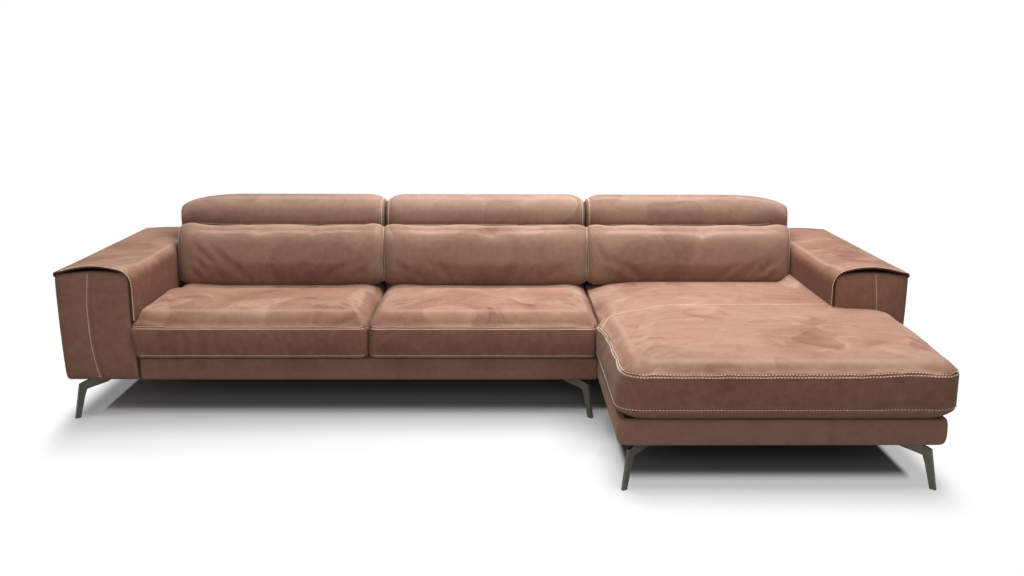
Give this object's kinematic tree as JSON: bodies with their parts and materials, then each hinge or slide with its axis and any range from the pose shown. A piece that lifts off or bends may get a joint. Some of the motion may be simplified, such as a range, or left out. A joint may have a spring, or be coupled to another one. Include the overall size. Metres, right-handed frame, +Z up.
{
  "type": "corner sofa",
  "caption": "Leather corner sofa with a right-hand chaise, low broad arms, blade legs and ratchet headrests that tilt up over the backs.",
  "frame": {"origin": "on the floor, under the middle of the whole sofa's plan", "axes": "+X across the sofa to the chaise's side (the viewer's right), +Y from the front to the back, +Z up"},
  "size_m": [3.1, 1.76, 0.745],
  "materials": {
    "leather": "brushed nubuck, soft and matte",
    "timber": "planed softwood and plywood, raw",
    "webbing": "woven elastic strap",
    "dust_cloth": "black felted cloth",
    "hinge_steel": "zinc-plated pressed steel",
    "leg_metal": "dark bronze satin coat"
  },
  "bodies": {
    "sofa": {"base_frame_left": "timber", "base_frame_chaise": "timber", "base_cover_left": "leather", "base_cover_chaise": "leather", "dust_cloth_left": "dust_cloth", "dust_cloth_chaise": "dust_cloth", "seat_web_left": "webbing", "seat_web_chaise": "webbing", "arm_carcass_left": "timber", "arm_panel_left": "leather", "arm_wrap_left": "leather", "arm_carcass_right": "timber", "arm_panel_right": "leather", "arm_wrap_right": "leather", "back_frame_left": "timber", "back_cover_left": "leather", "back_web_left": "webbing", "back_frame_chaise": "timber", "back_cover_chaise": "leather", "back_web_chaise": "webbing", "seat_cushion_left": "leather", "seat_cushion_middle": "leather", "chaise_cushion": "leather", "back_cushion_left": "leather", "back_cushion_middle": "leather", "back_cushion_right": "leather", "ratchet_bracket_left_left": "hinge_steel", "ratchet_bracket_left_right": "hinge_steel", "ratchet_bracket_middle_left": "hinge_steel", "ratchet_bracket_middle_right": "hinge_steel", "ratchet_bracket_right_left": "hinge_steel", "ratchet_bracket_right_right": "hinge_steel", "ratchet_pin_left_left": "hinge_steel", "ratchet_pin_left_right": "hinge_steel", "ratchet_pin_middle_left": "hinge_steel", "ratchet_pin_middle_right": "hinge_steel", "ratchet_pin_right_left": "hinge_steel", "ratchet_pin_right_right": "hinge_steel", "leg_left_front": "leg_metal", "leg_left_rear": "leg_metal", "leg_middle_front": "leg_metal", "leg_middle_rear": "leg_metal", "leg_chaise_front_left": "leg_metal", "leg_chaise_front_right": "leg_metal", "leg_chaise_rear_left": "leg_metal", "leg_right_rear": "leg_metal", "join_plate_front": "hinge_steel", "join_plate_rear": "hinge_steel"},
    "headrest_left": {"headrest_pad_left": "leather", "headrest_board_left": "timber", "ratchet_arm_left_left": "hinge_steel", "ratchet_arm_left_right": "hinge_steel"},
    "headrest_middle": {"headrest_pad_middle": "leather", "headrest_board_middle": "timber", "ratchet_arm_middle_left": "hinge_steel", "ratchet_arm_middle_right": "hinge_steel"},
    "headrest_right": {"headrest_pad_right": "leather", "headrest_board_right": "timber", "ratchet_arm_right_left": "hinge_steel", "ratchet_arm_right_right": "hinge_steel"}
  },
  "joints": [
    {"name": "headrest_tilt_left", "type": "hinge", "parent": "sofa", "child": "headrest_left", "pos_m": [-0.848, 0.575, 0.66], "axis": [1, 0, 0], "range_deg": [0, 70]},
    {"name": "headrest_tilt_middle", "type": "hinge", "parent": "sofa", "child": "headrest_middle", "pos_m": [0, 0.575, 0.66], "axis": [1, 0, 0], "range_deg": [0, 70]},
    {"name": "headrest_tilt_right", "type": "hinge", "parent": "sofa", "child": "headrest_right", "pos_m": [0.848, 0.575, 0.66], "axis": [1, 0, 0], "range_deg": [0, 70]}
  ]
}
